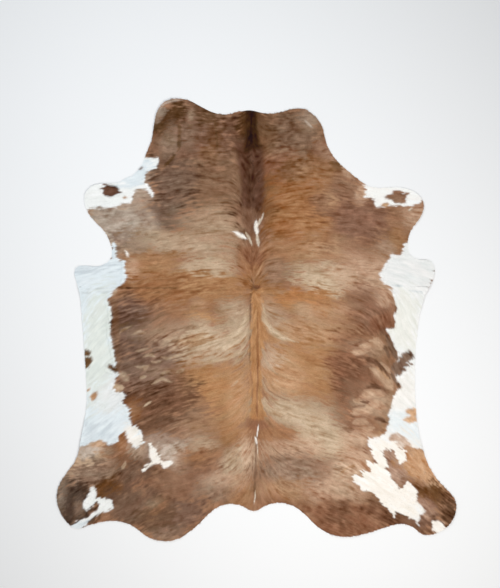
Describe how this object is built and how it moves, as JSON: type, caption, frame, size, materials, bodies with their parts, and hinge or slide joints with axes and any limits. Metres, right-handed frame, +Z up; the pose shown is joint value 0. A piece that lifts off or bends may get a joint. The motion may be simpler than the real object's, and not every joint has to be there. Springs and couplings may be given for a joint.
{
  "type": "cowhide rug",
  "caption": "Whole hair-on cowhide floor rug with neck lobes, shanks, elbow flaps, trimmed rump and two standing storage folds.",
  "frame": {"origin": "on the floor under the middle of the hide's box", "axes": "+Y from the rump towards the neck, +X to the right of someone looking down with the neck at the top, +Z up out of the hair"},
  "size_m": [1.995, 2.2144, 0.0185],
  "materials": {
    "hair_on_hide": "short glossy hair lying flat, brown and orange brindle with white flanks and shank ends; suede underside"
  },
  "bodies": {
    "root": {"cowhide": "hair_on_hide"}
  },
  "joints": []
}
